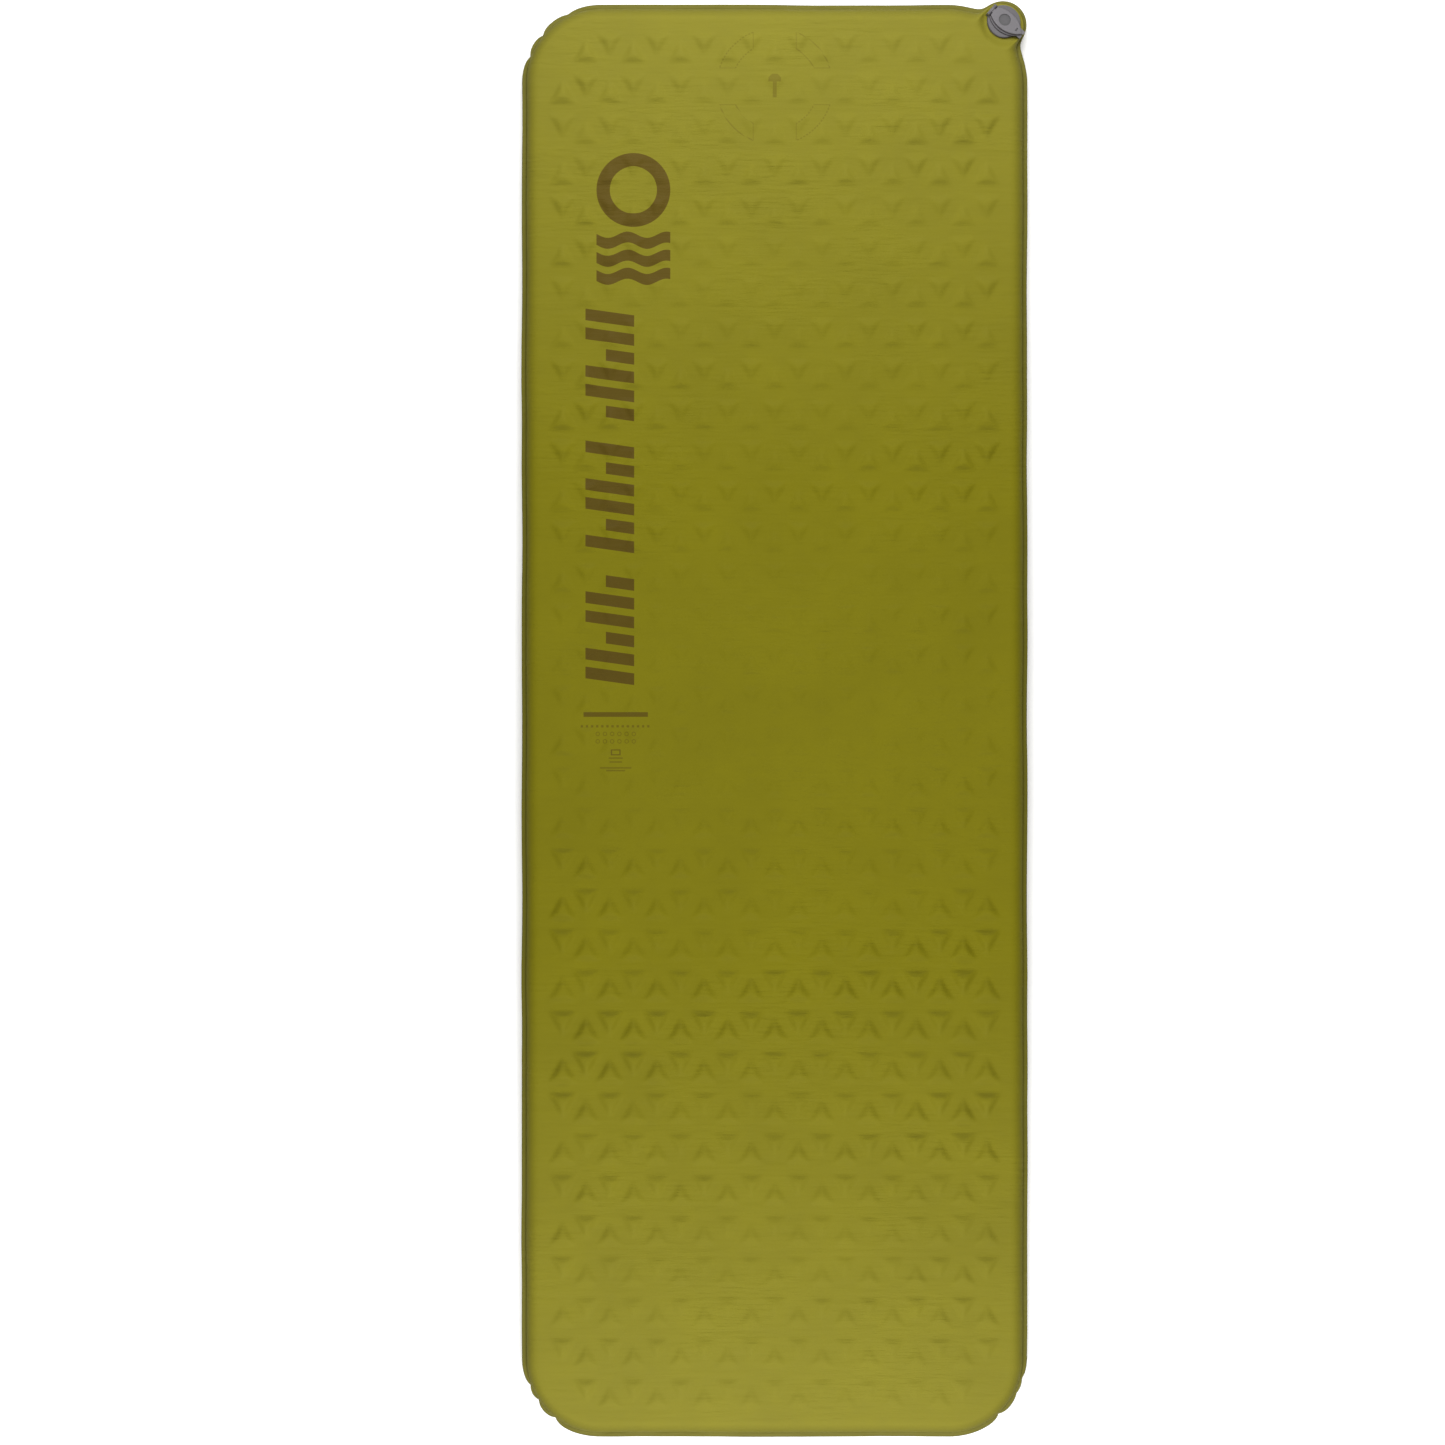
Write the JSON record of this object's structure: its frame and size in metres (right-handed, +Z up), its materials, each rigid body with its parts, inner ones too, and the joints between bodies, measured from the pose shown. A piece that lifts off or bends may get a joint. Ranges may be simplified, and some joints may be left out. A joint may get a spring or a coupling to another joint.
{
  "type": "inflatable sleeping pad",
  "caption": "Rectangular self-inflating camping mat with rounded edges, a cored foam core between two welded fabric covers, and a two-stage flat valve in one head corner.",
  "frame": {"origin": "centre of the flat underside, on the ground, midway between the sides and between the head and foot ends of the seam", "axes": "+Z up out of the sleeping face, +Y towards the head end (the valve is in the corner +X +Y), +X to the right seen from above"},
  "size_m": [0.646, 1.836, 0.0381],
  "materials": {
    "top_fabric": "coated woven polyester, matt",
    "bottom_fabric": "coated woven polyester, matt",
    "foam": "open-cell polyurethane foam, soft",
    "weld_film": "thermoplastic urethane, satin",
    "valve_plastic": "moulded, fine matt",
    "cap_plastic": "moulded, satin",
    "seal_rubber": "soft rubber",
    "flap_silicone": "silicone, translucent",
    "button_plastic": "moulded",
    "pin_steel": "drawn wire"
  },
  "bodies": {
    "pad": {"top_cover": "top_fabric", "bottom_cover": "bottom_fabric", "foam_core": "foam", "valve_weld_flange": "weld_film", "valve_base": "valve_plastic", "deflate_seal": "seal_rubber", "hinge_pin": "pin_steel"},
    "lower_lid": {"deflate_lid": "valve_plastic", "check_insert": "valve_plastic", "inflate_seal": "seal_rubber"},
    "upper_lid": {"inflate_cap": "cap_plastic"},
    "check_valve": {"release_button": "button_plastic", "check_flap": "flap_silicone", "flap_washer": "valve_plastic"}
  },
  "joints": [
    {"name": "deflate_lid_hinge", "type": "hinge", "parent": "pad", "child": "lower_lid", "pos_m": [0.2772, 0.90606, 0.03315], "axis": [-0.6287, -0.7493, 0.2079], "range_deg": [0, 105]},
    {"name": "inflate_cap_hinge", "type": "hinge", "parent": "lower_lid", "child": "upper_lid", "pos_m": [0.2772, 0.90606, 0.03315], "axis": [-0.6287, -0.7493, 0.2079], "range_deg": [0, 80]},
    {"name": "button_press", "type": "slide", "parent": "lower_lid", "child": "check_valve", "axis": [-0.1336, -0.1593, -0.9781], "range_m": [0, 0.0016], "stiffness_N_per_m": 200}
  ]
}
